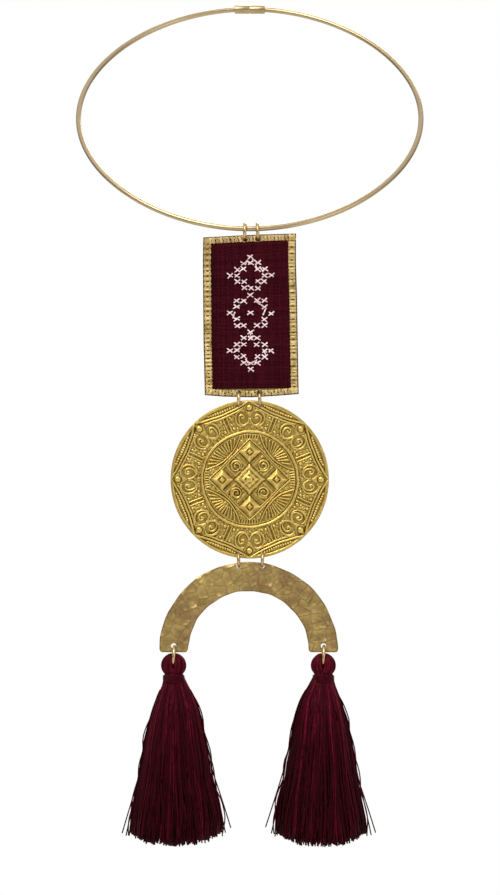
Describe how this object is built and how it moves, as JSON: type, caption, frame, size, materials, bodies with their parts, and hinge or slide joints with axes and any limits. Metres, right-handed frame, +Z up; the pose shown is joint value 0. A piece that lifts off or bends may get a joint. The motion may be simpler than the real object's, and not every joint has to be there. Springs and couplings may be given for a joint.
{
  "type": "bib necklace",
  "caption": "Rigid brass neck wire with a tiered pendant: embroidered burgundy panel, ornamented medallion, hammered arch and two silk tassels.",
  "frame": {"origin": "centre of the neck wire's loop, where the neck goes through", "axes": "+Z up as worn, -Y towards the front of the wearer, +X to the right as seen from the front"},
  "size_m": [0.1354, 0.1095, 0.3284],
  "materials": {
    "bright_brass": "polished",
    "cast_brass": "satin",
    "hammered_brass": "satin",
    "gold_braid": "woven metallic thread",
    "burgundy_cloth": "matte",
    "dark_backing": "matte",
    "burgundy_silk": "silky",
    "pink_thread": "matte"
  },
  "bodies": {
    "collar": {"collar_wire": "bright_brass", "collar_clasp": "bright_brass"},
    "panel": {"collar_ring_left": "bright_brass", "collar_ring_right": "bright_brass", "panel_border": "gold_braid", "panel_cloth": "burgundy_cloth", "panel_backing": "dark_backing", "panel_ring_left": "bright_brass", "panel_ring_right": "bright_brass"},
    "medallion": {"medallion": "cast_brass", "medallion_ring_left": "bright_brass", "medallion_ring_right": "bright_brass"},
    "arch": {"arch": "hammered_brass", "tassel_ring_left": "bright_brass", "tassel_ring_right": "bright_brass", "tassel_left": "burgundy_silk", "tassel_right": "burgundy_silk", "tassel_binding_left": "burgundy_silk", "tassel_binding_right": "burgundy_silk"}
  },
  "joints": [
    {"name": "panel_swing", "type": "hinge", "parent": "collar", "child": "panel", "pos_m": [0, -0.04768, -0.04669], "axis": [1, 0, 0], "range_deg": [-60, 60]},
    {"name": "medallion_swing", "type": "hinge", "parent": "panel", "child": "medallion", "pos_m": [0, -0.04768, -0.11112], "axis": [1, 0, 0], "range_deg": [-60, 60]},
    {"name": "arch_swing", "type": "hinge", "parent": "medallion", "child": "arch", "pos_m": [0, -0.04768, -0.17185], "axis": [1, 0, 0], "range_deg": [-60, 60]}
  ]
}
